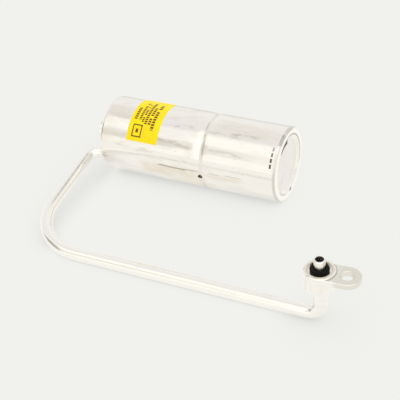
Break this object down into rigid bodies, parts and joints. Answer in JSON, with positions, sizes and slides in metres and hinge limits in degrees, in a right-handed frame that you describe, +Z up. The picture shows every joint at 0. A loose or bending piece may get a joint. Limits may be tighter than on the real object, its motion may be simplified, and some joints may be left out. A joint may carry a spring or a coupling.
{
  "type": "receiver drier",
  "caption": "Welded aluminium receiver drier: a round can with a long bent inlet tube that ends in a pad connector with a spigot and a bolt ear.",
  "frame": {"origin": "on the can's axis, in the middle of the plain band of the base half that a clamp grips", "axes": "+X along the can's axis from the ported end to the base end, -Y towards the long tube, +Z up as the object lies"},
  "size_m": [0.272, 0.167, 0.0601],
  "materials": {
    "shell_aluminium": "bright drawn aluminium with soft lengthwise streaks",
    "weld_aluminium": "weld and braze metal, slightly duller",
    "tube_aluminium": "bright drawn tube",
    "machined_aluminium": "fine turned aluminium",
    "label_film": "yellow film label",
    "seal_rubber": "smooth black rubber",
    "cage_plastic": "moulded natural nylon",
    "mesh_fabric": "fine woven screen",
    "plate_steel": "pressed steel",
    "filter_felt": "white felt",
    "desiccant_beads": "packed beads",
    "spring_steel": "bright spring wire"
  },
  "bodies": {
    "root": {"rear_shell": "shell_aluminium", "front_shell": "shell_aluminium", "seam_weld": "weld_aluminium", "label": "label_film", "inlet_tube": "tube_aluminium", "inlet_braze": "weld_aluminium", "connector_pad": "machined_aluminium", "connector_braze": "weld_aluminium", "o_ring": "seal_rubber", "outlet_port": "machined_aluminium", "outlet_braze": "weld_aluminium", "pickup_tube": "tube_aluminium", "strainer_cage": "cage_plastic", "strainer_mesh": "mesh_fabric", "lower_plate": "plate_steel", "lower_filter_pad": "filter_felt", "desiccant_bed": "desiccant_beads", "upper_filter_pad": "filter_felt", "upper_plate": "plate_steel", "bed_spring": "spring_steel"}
  },
  "joints": []
}
